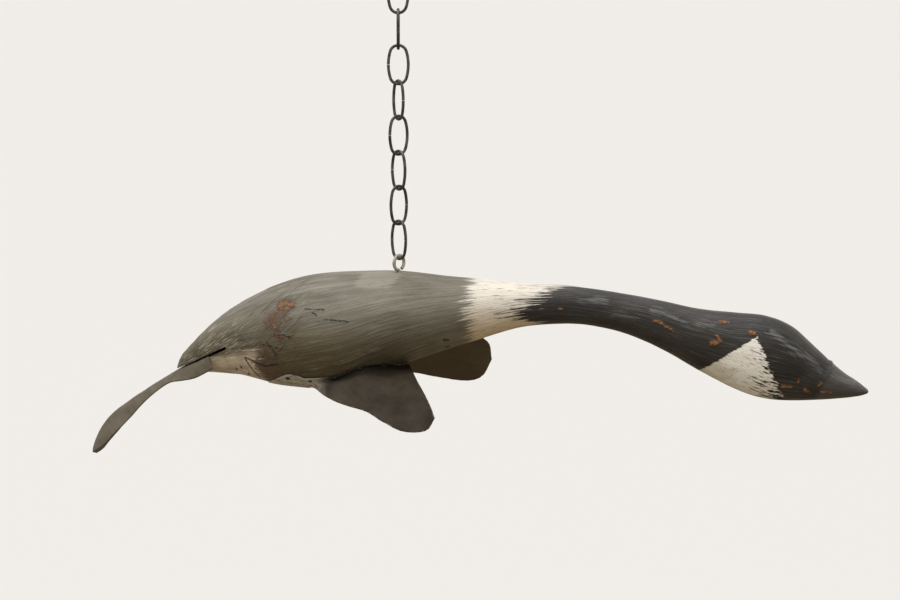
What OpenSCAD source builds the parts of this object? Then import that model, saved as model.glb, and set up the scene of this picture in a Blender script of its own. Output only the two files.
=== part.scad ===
// A carved flying goose decoy that hangs from a chain and turns in the air.
// The origin is the ceiling: the shoulder of the screw hook, with the screw above it and the chain straight
// below. +X points along the bird to its bill, +Y to its left wing, +Z up. Lengths are in millimetres.

/* [Ceiling hook] */
// Diameter of the hook's wire
hook_wire = 3.6; // [3:0.1:4]
// Diameter of the hook's bowl, at the middle of the wire
hook_bowl_d = 18; // [16:0.5:22]
// Diameter of the wood screw that goes into the ceiling
hook_screw_d = 4; // [3:0.5:5]
// Length of the wood screw, without its point
hook_screw_len = 16; // [12:1:25]

/* [Chain] */
// Length of a link over its ends
link_len = 38.9; // [36:0.1:42]
// Width of a link over its sides
link_w = 21.5; // [20.9:0.1:22.5]
// Diameter of the link's wire
link_wire = 2.8; // [2.4:0.1:3]
// Width of the slit where the two ends of a link's wire meet
link_slit = 0.35; // [0.2:0.05:0.8]
// Space between two pieces of wire that hang in each other
wire_play = 0.2; // [0.1:0.05:0.4]

/* [Screw eye] */
// Diameter of the eye's wire
eye_wire = 3.2; // [3:0.1:3.4]
// Diameter of the eye's ring, at the middle of the wire
eye_ring_d = 14; // [13:0.5:16]
// Diameter of the eye's shank
eye_shank_d = 3.6; // [3.4:0.1:4]
// Length of the shank in the wood
eye_shank_len = 30; // [20:1:36]

/* [Carving] */
// Where the neck and head piece is glued on, ahead of the screw eye
neck_joint_x = 100; // [95:1:105]
// Diameter of the dowel in that joint
dowel_d = 16; // [12:1:18]
// Length of the dowel
dowel_len = 80; // [60:2:90]
// Height of the saw slot that holds the tail
slot_h = 2.6; // [2.4:0.1:3]

/* [Sheet metal] */
// Thickness of the wing and tail sheets
sheet_t = 1; // [0.8:0.1:1.2]
// Space between a wing's flange and the wood
flange_gap = 0.35; // [0.3:0.05:0.5]
// Diameter of the tacks and nails
nail_d = 1.8; // [1.6:0.1:2]
// Diameter of their heads
nail_head_d = 4.6; // [4:0.1:5]
// Length of the wing tacks
tack_len = 14; // [10:1:16]
// Length of the tail nails
tail_nail_len = 24; // [20:1:26]

/* [Hidden] */
$fn = 48;

// ---- heights down the chain ----

// Wire bends run into each other on a slope of 7 in 24, a right triangle with a long side of 25
RISE = 7;
RUN = 24;
LONG = 25;
hook_neck = 7;            // straight wire below the shoulder
hook_bowl_r = hook_bowl_d / 2;
hook_bend_r = hook_bowl_r * RISE / (LONG - RISE);   // bend from the neck into the bowl
hook_bowl_z = -hook_neck - (hook_bend_r + hook_bowl_r) * RUN / LONG;

link_half = (link_len - link_wire) / 2;    // from a link's middle to the middle of its end wire
link_pitch = link_len - 2 * link_wire - wire_play;
first_link_z = hook_bowl_z - hook_bowl_r + (hook_wire + link_wire) / 2 + wire_play - link_half;
function link_z(i) = first_link_z - i * link_pitch;

// Turn of each link about the chain. At 0 the leg with the slit is towards -X.
LINK_TURN = [10, -80, 10, 130, 40, -39, 229, 145];
hook_turn = 100;
eye_turn = 60;

eye_ring_r = eye_ring_d / 2;
eye_z = link_z(len(LINK_TURN) - 1) - link_half + (link_wire + eye_wire) / 2 + wire_play - eye_ring_r;
back_gap = 0.3;           // the eye's ring stands this far off the wood
back_z = eye_z - eye_ring_r - eye_wire / 2 - back_gap;

// ---- the carving: stations along the bird, with heights measured from the back below the screw eye ----

// [x, top, bottom, half width]
STATIONS = [
    [-219.5, -97, -102.5, 4], [-217, -90, -102.5, 12], [-205, -76, -101.5, 24], [-180, -51, -100.5, 41],
    [-150, -30, -102, 52.5], [-115, -13.5, -109, 63], [-80, -4.5, -111, 67], [-40, -1, -106.5, 65],
    [0, 0, -90, 58], [40, -3, -74.5, 45], [80, -5.5, -61, 33], [115, -8, -49.5, 25],
    [150, -9, -45, 20.5], [180, -11.5, -45.5, 19], [215, -16, -52, 19.5], [250, -21.5, -66, 21],
    [285, -28, -85, 24], [320, -31, -102, 27.5], [345, -33, -109.5, 29], [370, -42, -111, 28],
    [395, -64, -109.5, 23.5], [415, -82, -107.5, 17], [432, -93, -105, 11.5], [439, -98, -103, 8],
    [441.5, -100, -102, 4]];
SQUARENESS = 2.2;         // power of the superellipse of each section
LAST = len(STATIONS) - 1;

function spow(v, p) = v < 0 ? -pow(-v, p) : pow(v, p);
function lerp(a, b, t) = a + (b - a) * t;
function span_of(x, k = 0) = (k >= LAST - 1 || x < STATIONS[k + 1][0]) ? k : span_of(x, k + 1);
function slope_at(k) =
    let (a = STATIONS[max(k - 1, 0)], b = STATIONS[min(k + 1, LAST)]) (b - a) / (b[0] - a[0]);
function station(x) =
    let (k = span_of(x), a = STATIONS[k], b = STATIONS[k + 1], w = b[0] - a[0], t = (x - a[0]) / w)
    (2 * t * t * t - 3 * t * t + 1) * a + (t * t * t - 2 * t * t + t) * w * slope_at(k)
    + (3 * t * t - 2 * t * t * t) * b + (t * t * t - t * t) * w * slope_at(k + 1);

// A point of the skin at x: angle 0 is the belly, 90 the flank on the given side, 180 the back.
// It lies `off` outside the wood.
function skin(x, angle, side, off = 0) =
    let (s = station(x), mid = (s[1] + s[2]) / 2, h = (s[1] - s[2]) / 2, w = s[3],
         y = w * pow(sin(angle), 2 / SQUARENESS), z = -h * spow(cos(angle), 2 / SQUARENESS),
         n = skin_normal(x, angle, side))
    [x, side * y, mid + z] + off * n;
function skin_normal(x, angle, side) =
    let (s = station(x), h = (s[1] - s[2]) / 2, p = 2 - 2 / SQUARENESS,
         n = [0, side * pow(sin(angle), p) / s[3], -spow(cos(angle), p) / h])
    n / norm(n);
function ring(x, count) =
    [for (i = [0 : count - 1])
        let (a = i * 360 / count) a <= 180 ? skin(x, a, 1) : skin(x, 360 - a, -1)];

// Solid through a list of rings that all have the same number of points
module loft(rings) {
    n = len(rings[0]);
    m = len(rings);
    polyhedron(
        points = [for (r = rings) for (p = r) p],
        faces = concat(
            [[for (i = [0 : n - 1]) i]],
            [[for (i = [n - 1 : -1 : 0]) (m - 1) * n + i]],
            [for (j = [0 : m - 2]) for (i = [0 : n - 1]) let (k = (i + 1) % n)
                [j * n + i, (j + 1) * n + i, j * n + k]],
            [for (j = [0 : m - 2]) for (i = [0 : n - 1]) let (k = (i + 1) % n)
                [j * n + k, (j + 1) * n + i, (j + 1) * n + k]]),
        convexity = 6);
}

// ---- sheet metal: a solid of even thickness about a grid of points ----

function grid_normal(g, i, j) =
    let (m = len(g) - 1, n = len(g[0]) - 1,
         du = g[min(i + 1, m)][j] - g[max(i - 1, 0)][j], dv = g[i][min(j + 1, n)] - g[i][max(j - 1, 0)],
         c = cross(du, dv))
    c / norm(c);

module sheet(g) {
    m = len(g);
    n = len(g[0]);
    size = m * n;
    upper = [for (i = [0 : m - 1]) for (j = [0 : n - 1]) g[i][j] + sheet_t / 2 * grid_normal(g, i, j)];
    lower = [for (i = [0 : m - 1]) for (j = [0 : n - 1]) g[i][j] - sheet_t / 2 * grid_normal(g, i, j)];
    rim = concat(
        [for (i = [0 : m - 1]) i * n],
        [for (j = [1 : n - 1]) (m - 1) * n + j],
        [for (i = [m - 2 : -1 : 0]) i * n + n - 1],
        [for (j = [n - 2 : -1 : 1]) j]);
    polyhedron(
        points = concat(upper, lower),
        faces = concat(
            [for (i = [0 : m - 2]) for (j = [0 : n - 2]) let (a = i * n + j) [a, a + 1, a + n]],
            [for (i = [0 : m - 2]) for (j = [0 : n - 2]) let (a = i * n + j) [a + 1, a + n + 1, a + n]],
            [for (i = [0 : m - 2]) for (j = [0 : n - 2])
                let (a = i * n + j) [size + a, size + a + n, size + a + 1]],
            [for (i = [0 : m - 2]) for (j = [0 : n - 2])
                let (a = i * n + j) [size + a + 1, size + a + n, size + a + n + 1]],
            [for (i = [0 : len(rim) - 1]) let (a = rim[i], b = rim[(i + 1) % len(rim)]) [a, b, size + a]],
            [for (i = [0 : len(rim) - 1])
                let (a = rim[i], b = rim[(i + 1) % len(rim)]) [b, size + b, size + a]]),
        convexity = 6);
}

// Smooth curve through a list of numbers, points or rows of points, `steps` pieces to each span
function scaled(a, b, f) = is_num(a) ? f * (a - b) : [for (i = [0 : len(a) - 1]) scaled(a[i], b[i], f)];
function weighted(v, w) =
    is_num(v[0]) ? v * w : [for (i = [0 : len(v[0]) - 1]) weighted([for (e = v) e[i]], w)];
function through(list, steps) =
    [for (k = [0 : len(list) - 2]) for (i = [0 : steps - 1]) between(list, k, i / steps),
     list[len(list) - 1]];
function between(list, k, t) =
    let (n = len(list) - 1, a = list[k], b = list[k + 1],
         ta = scaled(b, list[max(k - 1, 0)], k > 0 ? 0.5 : 1),
         tb = scaled(list[min(k + 2, n)], a, k < n - 1 ? 0.5 : 1))
    weighted([a, ta, b, tb], [2 * t * t * t - 3 * t * t + 1, t * t * t - 2 * t * t + t,
                              3 * t * t - 2 * t * t * t, t * t * t - t * t]);

// ---- wings ----
// Rows run from the pointed strip under the belly to the leading edge. A row across the strip is its x,
// five skin angles and how far it is lifted off the wood. A row across the wing is [x, skin angle] for the
// two edges of the flange on the wood, how far it is lifted, then three points out to the wing's edge.

STRIP = [
    [-121, [29, 27.5, 26, 24.5, 23], 0], [-98, [52, 44, 34, 23, 12], 0], [-78, [47, 40, 32, 24, 16], 0.6]];
WING_REAR = [
    [[-53, 47.5], [-53, 40.5], 0.1, [[-55, 57, -99], [-55, 62, -106], [-55, 66, -111]]],
    [[-40, 51.5], [-39.5, 44.5], 0.1, [[-38, 64.5, -96.5], [-35.5, 75, -106], [-32, 86, -113.5]]],
    [[-27, 55], [-26, 48], 0.1, [[-21, 72, -93], [-16, 88, -105], [-9, 106, -115]]]];
RIGHT_FRONT = [
    [[-6, 44], [-5, 36], 0.2, [[5, 78, -94], [16, 108, -109], [28, 138, -124]]],
    [[3, 32], [5, 24], 0.6, [[20, 80, -90], [36, 114, -105], [52, 145, -123]]],
    [[8, 13], [11, 7], 0.8, [[33, 82, -89], [50, 118, -101], [61, 147, -110]]]];
LEFT_FRONT = [
    [[-6, 44], [-5, 36], 0.2, [[8, 78, -92], [18, 108, -109], [28, 138, -128]]],
    [[3, 32], [5, 24], 0.6, [[28, 80, -84], [43, 114, -101], [54, 147, -126]]],
    [[8, 13], [11, 7], 0.8, [[49, 84, -74], [66, 120, -85], [66, 147, -107]]]];

flange_off = flange_gap + sheet_t / 2;
function wing_net(front, side) = concat(
    [for (r = through(STRIP, 3)) [for (a = r[1]) skin(r[0], a, side, flange_off + r[2])]],
    [for (r = concat(WING_REAR, front)) concat(
        [for (e = [r[0], r[1]]) skin(e[0], e[1], side, flange_off + r[2])],
        [for (p = r[3]) [p[0], side * p[1], p[2]]])]);

bend_share = 0.35;        // how much of the flange is taken by the bend
bend_len = 3.5;           // the same, on the wing's side of the bend
// One row of the wing's grid: the flange, a rounded bend and a smooth curve to the edge
function wing_row(r) =
    let (a = lerp(r[1], r[0], bend_share), d = r[2] - r[1], b = r[1] + d * min(0.5, bend_len / norm(d)))
    concat([r[0], lerp(r[0], a, 0.5), a, (a + 2 * r[1] + b) / 4], through([b, r[2], r[3], r[4]], 5));
function wing_grid(net) = [for (r = through(net, 4)) wing_row(r)];

// Tack places: [x, skin angle], in the middle of the flange
TACKS = [[-97, 47], [-76, 43], [-52, 44.5], [-28, 52], [-7, 41]];

// A nail along +Z from its head at the origin down into the wood
module nail(length, head_t = 0.7) {
    translate([0, 0, -length]) cylinder(d = nail_d, h = length);
    cylinder(d1 = nail_head_d, d2 = nail_head_d - 1, h = head_t);
}
// Turns a nail so that it comes out along n
module along(n) {
    rotate([0, acos(n[2]), atan2(n[1], n[0])]) children();
}
module wing_tacks(side) {
    for (t = TACKS)
        translate(skin(t[0], t[1], side, flange_gap + sheet_t))
            along(skin_normal(t[0], t[1], side)) nail(tack_len);
}

// ---- tail ----

slot_a = [-157, -70];     // front end of the saw slot, x and z at the sheet
slot_b = [-219, -101];    // where it leaves the wood
slot_rise = (slot_a[1] - slot_b[1]) / (slot_a[0] - slot_b[0]);
slot_slope = atan(slot_rise);
function slot_z(x) = slot_b[1] + (x - slot_b[0]) * slot_rise;

// Crest of the sheet from inside the slot to the tip: [x, z, half width, flat half width, droop,
// left share]. Beyond the flat part the right half droops by `droop` times the square of the distance,
// and the left half by that share of it.

TAIL = [
    [-177, slot_z(-177), 46, 42.5, 1, 1], [-184, slot_z(-184), 45, 38.6, 0.31, 1],
    [-196, slot_z(-196), 44, 29.6, 0.061, 1], [-208, slot_z(-208), 42.5, 21, 0.02, 1],
    [slot_b[0], slot_b[1], 39, 17, 0.013, 1],
    [-232, -109, 34.5, 15, 0.017, 0.85], [-246, -118, 38, 15, 0.017, 0.6],
    [-262, -129, 44, 15, 0.016, 0.45], [-280, -142.5, 47.5, 15, 0.016, 0.4],
    [-291.5, -156.5, 48, 15, 0.015, 0.4], [-298, -169.5, 43, 15, 0.014, 0.4],
    [-300.5, -178.5, 31, 15, 0.014, 0.4], [-300.5, -184, 12, 12, 0.014, 0.4]];
TAIL_ACROSS = 26;         // cells across the tail
function tail_side(k) =   // the way the sheet droops: square to the crest, downwards
    let (n = len(TAIL) - 1, a = TAIL[max(k - 1, 0)], b = TAIL[min(k + 1, n)],
         d = [b[0] - a[0], b[1] - a[1]] / norm([b[0] - a[0], b[1] - a[1]]))
    [-d[1], d[0]];
function tail_rib(s, n) =
    [for (i = [0 : TAIL_ACROSS])
        let (y = s[2] * (2 * i / TAIL_ACROSS - 1), over = max(0, abs(y) - s[3]),
             drop = s[4] * over * over * (y > 0 ? s[5] : 1))
        [s[0] + drop * n[0], y, s[1] + drop * n[1]]];
// The sheet's front edge: between the flanks it reaches further into the slot
tongue_corner = 0.8;
tongue_middle = 6;
function tongue(y) = lerp(tongue_corner, tongue_middle, max(0, min(1, (40 - abs(y)) / 6)));
function tail_front(rib) = [for (p = rib) p + tongue(p[1]) * [cos(slot_slope), 0, sin(slot_slope)]];
tail_ribs = through([for (k = [0 : len(TAIL) - 1]) tail_rib(TAIL[k], tail_side(k))], 3);
tail_grid = concat([tail_front(tail_ribs[0])], tail_ribs);

sheet_seat = 0.2;         // the sheet lies this far above the slot's floor
TAIL_NAILS = [[-190, 11], [-190, -11], [-201, 0]];   // x and y

module in_bird() {
    translate([0, 0, back_z]) children();
}
module carving(from_x, to_x, pieces, around) {
    loft([for (i = [0 : pieces]) ring(lerp(from_x, to_x, i / pieces), around)]);
}
module tail_slot() {
    translate([slot_a[0], 0, slot_a[1]]) rotate([0, -slot_slope, 0])
        translate([-100, -80, -sheet_t / 2 - sheet_seat]) cube([100, 160, slot_h]);
}
module eye_bore() {
    cylinder(d = eye_shank_d - 0.2, h = 2 * (eye_shank_len + 1), center = true);
}
dowel_z = -29;
dowel_fit = 0.05;
module dowel_bore() {
    translate([neck_joint_x - dowel_len / 2 - 1, 0, dowel_z]) rotate([0, 90, 0])
        cylinder(d = dowel_d + 2 * dowel_fit, h = dowel_len + 2);
}

// ---- wire ----

// A ring of wire in the XZ plane, and a thick plate with an outline in that plane
module wire_ring(r, wire) {
    rotate([90, 0, 0]) rotate_extrude() translate([r, 0]) circle(d = wire);
}
module plate(outline) {
    rotate([90, 0, 0]) linear_extrude(height = 20, center = true) polygon(outline);
}
// An oval link is four arcs: an end bow at each end and a flat arc at each side
side_half = (link_w - link_wire) / 2;
bow_r = (RISE * side_half - link_half) / (RISE - 1);
bow_z = link_half - bow_r;
side_x = bow_z * RUN / RISE;
far = 48;
module link() {
    difference() {
        union() {
            for (end = [0, 180]) rotate([0, end, 0]) intersection() {
                translate([0, 0, bow_z]) wire_ring(bow_r, link_wire);
                plate([[0, bow_z], [RUN, bow_z + RISE], [RUN, far], [-RUN, far], [-RUN, bow_z + RISE]]);
            }
            for (leg = [0, 180]) rotate([0, 0, leg]) intersection() {
                translate([-side_x, 0, 0]) wire_ring(side_x + side_half, link_wire);
                plate([[-side_x, 0], [2 * RUN - side_x, 2 * RISE], [2 * RUN - side_x, -2 * RISE]]);
            }
        }
        translate([-side_half, 0, 0]) cube([2 * link_wire, 2 * link_wire, link_slit], center = true);
    }
}
module chain_link(i) {
    color("dimgray") translate([0, 0, link_z(i - 1)]) rotate([0, 0, LINK_TURN[i - 1]]) link();
}

// ---- the pieces ----

hook_collar_d = 7;
hook_collar_t = 1;
hook_point = 4;
module hook_shank() {
    rotate_extrude() polygon([
        [0, -hook_neck], [hook_wire / 2, -hook_neck], [hook_wire / 2, -hook_collar_t],
        [hook_collar_d / 2, -hook_collar_t], [hook_collar_d / 2, 0], [hook_screw_d / 2, 0],
        [hook_screw_d / 2, hook_screw_len], [0.4, hook_screw_len + hook_point],
        [0, hook_screw_len + hook_point]]);
}
module ceiling_hook() {
    color("gray") rotate([0, 0, hook_turn]) {
        hook_shank();
        intersection() {
            translate([-hook_bend_r, 0, -hook_neck]) wire_ring(hook_bend_r, hook_wire);
            plate([[-hook_bend_r, -hook_neck], [far, -hook_neck], [far, -hook_neck - RUN],
                   [RISE - hook_bend_r, -hook_neck - RUN]]);
        }
        difference() {
            translate([0, 0, hook_bowl_z]) wire_ring(hook_bowl_r, hook_wire);
            plate([[0, hook_bowl_z], [RUN, hook_bowl_z + RUN / 2], [RUN, hook_bowl_z + RUN],
                   [-RISE, hook_bowl_z + RUN]]);
        }
    }
}
eye_open_angle = 32;      // the end of the eye's wire stops this far short of the shank
module screw_eye() {
    color("silver") translate([0, 0, eye_z]) rotate([0, 0, eye_turn]) {
        rotate([90, 0, 0]) rotate([0, 0, eye_open_angle - 90]) rotate_extrude(angle = 360 - eye_open_angle)
            translate([eye_ring_r, 0]) circle(d = eye_wire);
        translate([0, 0, -eye_ring_r - eye_shank_len]) cylinder(d = eye_shank_d, h = eye_shank_len);
    }
}
module body() {
    color("#7d7b70") in_bird() difference() {
        carving(STATIONS[0][0], neck_joint_x, 52, 44);
        eye_bore();
        dowel_bore();
        tail_slot();
    }
}
module neck_head() {
    color("#2b2825") in_bird() difference() {
        carving(neck_joint_x, STATIONS[LAST][0], 48, 36);
        dowel_bore();
    }
}
module neck_dowel() {
    color("burlywood") in_bird() translate([neck_joint_x - dowel_len / 2, 0, dowel_z]) rotate([0, 90, 0])
        cylinder(d = dowel_d, h = dowel_len);
}
module tail_sheet() {
    color("#6f6d62") in_bird() sheet(tail_grid);
}
module tail_nails() {
    color("dimgray") in_bird() for (p = TAIL_NAILS) translate([p[0], p[1], station(p[0])[2]])
        rotate([180, 0, 0]) nail(tail_nail_len);
}
module right_wing() {
    color("#4a443c") in_bird() sheet(wing_grid(wing_net(RIGHT_FRONT, -1)));
}
module left_wing() {
    color("#4a443c") in_bird() sheet([for (r = wing_grid(wing_net(LEFT_FRONT, 1)))
        [for (j = [len(r) - 1 : -1 : 0]) r[j]]]);
}
module right_wing_tacks() {
    color("dimgray") in_bird() wing_tacks(-1);
}
module left_wing_tacks() {
    color("dimgray") in_bird() wing_tacks(1);
}

ceiling_hook();
chain_link(1);  // chain_link_1
chain_link(2);  // chain_link_2
chain_link(3);  // chain_link_3
chain_link(4);  // chain_link_4
chain_link(5);  // chain_link_5
chain_link(6);  // chain_link_6
chain_link(7);  // chain_link_7
chain_link(8);  // chain_link_8
screw_eye();
body();
neck_head();
neck_dowel();
tail_sheet();
tail_nails();
right_wing();
left_wing();
right_wing_tacks();
left_wing_tacks();
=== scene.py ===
"""A carved goose decoy with sheet-metal wings and tail, hung by a chain from a ceiling hook.

The carving and the three sheets are rebuilt as fine meshes from the CAD nodes, with tool marks, dents and
hammer marks. The chain, hook, eye, dowel, nails and tacks keep their CAD shapes. Every finish is procedural.
Places on the bird are in millimetres from the back under the screw eye: x towards the bill, y towards its
left, z up.
"""

import math

import bmesh
import bpy
import numpy as np
from mathutils import Matrix, Vector
from mathutils.kdtree import KDTree


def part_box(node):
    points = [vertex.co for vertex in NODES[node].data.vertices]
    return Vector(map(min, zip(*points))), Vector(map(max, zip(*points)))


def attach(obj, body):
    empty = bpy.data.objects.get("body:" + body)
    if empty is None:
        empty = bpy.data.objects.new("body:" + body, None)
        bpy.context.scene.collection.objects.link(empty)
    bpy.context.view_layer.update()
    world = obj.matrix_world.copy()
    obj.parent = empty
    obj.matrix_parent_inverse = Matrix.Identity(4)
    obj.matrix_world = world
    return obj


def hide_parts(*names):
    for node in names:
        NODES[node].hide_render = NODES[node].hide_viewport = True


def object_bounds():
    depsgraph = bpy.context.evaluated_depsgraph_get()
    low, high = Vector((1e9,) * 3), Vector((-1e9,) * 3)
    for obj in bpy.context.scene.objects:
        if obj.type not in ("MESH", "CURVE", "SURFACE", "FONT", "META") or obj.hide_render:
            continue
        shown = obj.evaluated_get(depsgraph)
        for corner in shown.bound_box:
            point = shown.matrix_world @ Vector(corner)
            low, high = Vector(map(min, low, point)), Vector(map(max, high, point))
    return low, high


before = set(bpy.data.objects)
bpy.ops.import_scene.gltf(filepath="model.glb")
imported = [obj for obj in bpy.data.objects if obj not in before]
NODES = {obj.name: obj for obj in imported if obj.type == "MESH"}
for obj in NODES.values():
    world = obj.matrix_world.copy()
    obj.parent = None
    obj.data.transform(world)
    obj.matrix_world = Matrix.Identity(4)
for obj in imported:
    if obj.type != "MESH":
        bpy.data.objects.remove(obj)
cad_low, cad_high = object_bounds()
MM = 0.001
EYE_HEIGHT = 17.5 * MM      # the top of the screw eye is this far above the back
BACK = Vector((0, 0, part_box("screw_eye")[1].z - EYE_HEIGHT))


# ---- fields and meshes ----

FIELD_CELLS = 32            # a random field repeats after so many bumps


def random_field(points, size, seed):
    """Smooth random values from -1 to 1, with bumps `size` across: one number, or three for x, y, z."""
    table = np.random.default_rng(seed).uniform(-1, 1, (FIELD_CELLS,) * 3)
    q = points / np.asarray(size, float)
    cell = np.floor(q).astype(int)
    f = q - cell
    f = f * f * (3 - 2 * f)
    total = np.zeros(len(points))
    for corner in np.ndindex(2, 2, 2):
        weight = np.prod(np.where(corner, f, 1 - f), axis=1)
        i, j, k = ((cell + corner) % FIELD_CELLS).T
        total += weight * table[i, j, k]
    return total


def ramp(value, low, high):
    """0 below low, 1 above high, and smooth between; low may be the larger."""
    t = np.clip((value - low) / (high - low), 0, 1)
    return t * t * (3 - 2 * t)


def bird_points(mesh):
    """A mesh's vertices in the bird's millimetres."""
    co = np.empty(len(mesh.vertices) * 3)
    mesh.vertices.foreach_get("co", co)
    return (co.reshape(-1, 3) - np.array(BACK)) / MM


def put_points(mesh, points):
    """Moves a mesh's vertices to points in the bird's millimetres."""
    mesh.vertices.foreach_set("co", (points * MM + np.array(BACK)).ravel())
    mesh.update()


def normals(mesh):
    """The direction out of the mesh at each vertex."""
    n = np.empty(len(mesh.vertices) * 3)
    mesh.vertex_normals.foreach_get("vector", n)
    return n.reshape(-1, 3)


def add_field(mesh, name, values):
    """Stores one number for each vertex, which a material reads with Paint.field()."""
    mesh.attributes.new(name, "FLOAT", "POINT").data.foreach_set("value", np.asarray(values, np.float32))


def add_object(name, data):
    """A new object in the scene's own collection."""
    made = bpy.data.objects.new(name, data)
    bpy.context.scene.collection.objects.link(made)
    return made


def add_piece(name, mesh, node, material):
    """Shows a mesh in the place of a CAD node, on the same body."""
    piece = add_object(name, mesh)
    mesh.materials.clear()
    mesh.materials.append(material)
    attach(piece, "decoy")
    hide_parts(node)
    return piece


# ---- the carving ----

SQUARENESS = 2.2            # power of the superellipse of each section, as in the CAD
DOWEL_Z, DOWEL_CLEAR, DOWEL_END = -29.0, 9.0, 150.0   # the dowel's bore is no part of the outline
RING_POINTS = 24            # a full section has at least so many places
CELL = 1.3
COARSER = 1
BODY_AROUND, HEAD_AROUND = 240 // COARSER, 180 // COARSER
END_RADIUS = 1.6            # of a rounded end's edge
CAP_SHARES = (0.96, 0.8, 0.45, 0.1)   # the rings that close an end, as shares of its outline


def cad_rings(node):
    """The node's cross-sections: rows of x, top, bottom and half width."""
    co = bird_points(NODES[node].data)
    co = co[(np.hypot(co[:, 1], co[:, 2] - DOWEL_Z) > DOWEL_CLEAR) | (co[:, 0] > DOWEL_END)]
    xs = np.round(co[:, 0], 2)
    rows = []
    for x in np.unique(xs):
        ring = co[xs == x]
        if len(np.unique(np.round(ring, 2), axis=0)) >= RING_POINTS:
            rows.append([x, ring[:, 2].max(), ring[:, 2].min(), np.abs(ring[:, 1]).max()])
    return np.array(rows)


def smooth_rows(rows, xs):
    """The rows' values at each x, on a smooth curve through them."""
    k = np.clip(np.searchsorted(rows[:, 0], xs, "right") - 1, 0, len(rows) - 2)
    x = rows[:, 0]
    slopes = np.gradient(rows[:, 1:], x, axis=0)
    w = (x[k + 1] - x[k])[:, None]
    t = ((xs - x[k]) / (x[k + 1] - x[k]))[:, None]
    return ((2 * t**3 - 3 * t**2 + 1) * rows[k, 1:] + (t**3 - 2 * t**2 + t) * w * slopes[k]
            + (3 * t**2 - 2 * t**3) * rows[k + 1, 1:] + (t**3 - t**2) * w * slopes[k + 1])


def signed_power(v, p):
    """The size of v to the power p, with v's sign."""
    return np.sign(v) * np.abs(v) ** p


def loft(name, node, around, ends):
    """A fine closed skin through a node's sections; `ends` says which are rounded off: low x, high x."""
    rows = cad_rings(node)
    xs = np.arange(rows[0, 0], rows[-1, 0], CELL)
    xs = np.append(xs, rows[-1, 0])
    top, bottom, half = smooth_rows(rows, xs).T
    angle = np.arange(around) * 2 * math.pi / around
    y = half[:, None] * signed_power(np.sin(angle), 2 / SQUARENESS)
    upright = signed_power(np.cos(angle), 2 / SQUARENESS)
    z = ((top + bottom) / 2)[:, None] - ((top - bottom) / 2)[:, None] * upright
    rings = np.stack([np.repeat(xs[:, None], around, 1), y, z], axis=2)
    caps = []
    for end, rounded in ((0, ends[0]), (-1, ends[1])):
        outline = rings[end]
        middle = outline.mean(0)
        out = np.array([-1.0 if end == 0 else 1.0, 0, 0])
        for share in CAP_SHARES:
            bulge = END_RADIUS * math.sqrt(1 - share * share) - END_RADIUS if rounded else 0.0
            caps.append((end, middle + (outline - middle) * share + out * bulge))
        if rounded:
            rings[end] = outline - out * END_RADIUS
    low = [c for e, c in caps if e == 0][::-1]
    high = [c for e, c in caps if e == -1]
    rings = np.concatenate([low, rings, high])
    m = len(rings)
    index = np.arange(m * around).reshape(m, around)
    right = np.roll(index, -1, axis=1)
    quads = np.stack([index[:-1], index[1:], right[1:], right[:-1]], axis=-1).reshape(-1, 4)
    faces = quads.tolist() + [index[0].tolist(), index[-1, ::-1].tolist()]
    mesh = bpy.data.meshes.new(name)
    mesh.from_pydata((rings.reshape(-1, 3) * MM + np.array(BACK)).tolist(), [], faces)
    mesh.validate()
    return mesh


def capsule(points, x0, z0, x1, z1, width):
    """1 on a line seen from the side, 0 at `width` from it, and below 0 further out."""
    a = np.array([x0, z0])
    d = np.array([x1 - x0, z1 - z0])
    p = points[:, [0, 2]] - a
    t = np.clip(p @ d / max(d @ d, 1e-6), 0, 1)
    return 1 - np.linalg.norm(p - t[:, None] * d, axis=1) / width


NO_MARK = -3.0              # a mark's field where there is none


def marks(points, strokes):
    """The highest of several strokes, each [side, x0, z0, x1, z1, width]; side is -1 right, 1 left."""
    total = np.full(len(points), NO_MARK)
    for side, *stroke in strokes:
        field = capsule(points, *stroke)
        total = np.maximum(total, np.where(points[:, 1] * side > 0, field, NO_MARK))
    return total


# Marks of wear on the carving, and lighter streaks that are partly painted highlight, as rows for marks()
CHIPS = [   # paint knocked off down to orange-brown wood
    [-1, -102, -25, -90, -26, 3.4], [-1, -104, -28, -94, -29, 2.6], [-1, -107, -45, -105, -47, 3.2],
    [-1, -103, -43, -90, -37, 1.5], [-1, -108, -53, -97, -54, 1.6], [-1, -111, -41, -104, -31, 1.3],
    [-1, 245, -37, 251, -38, 1.8], [-1, 251, -39, 262, -45, 1.8], [-1, 305, -37, 313, -37, 1.6],
    [-1, 298, -55, 304, -55, 2.8], [-1, 303, -49, 306, -53, 1.9], [-1, 333, -45, 338, -46, 2.4],
    [-1, 363, -94, 371, -94, 2.2], [-1, 384, -97, 387, -98, 2.6], [-1, 396, -92, 399, -90, 2.0],
    [-1, 399, -99, 408, -99, 1.4], [-1, 378, -86, 378, -90, 1.2], [-1, 156, -28, 159, -28, 1.1],
    [1, 40, -52, 52, -50, 3.0], [1, -128, -40, -118, -44, 3.2], [1, 214, -34, 222, -36, 2.2],
    [1, 372, -88, 382, -90, 2.6], [1, -20, -30, -8, -31, 1.6], [1, 300, -62, 306, -60, 2.0]]
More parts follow.
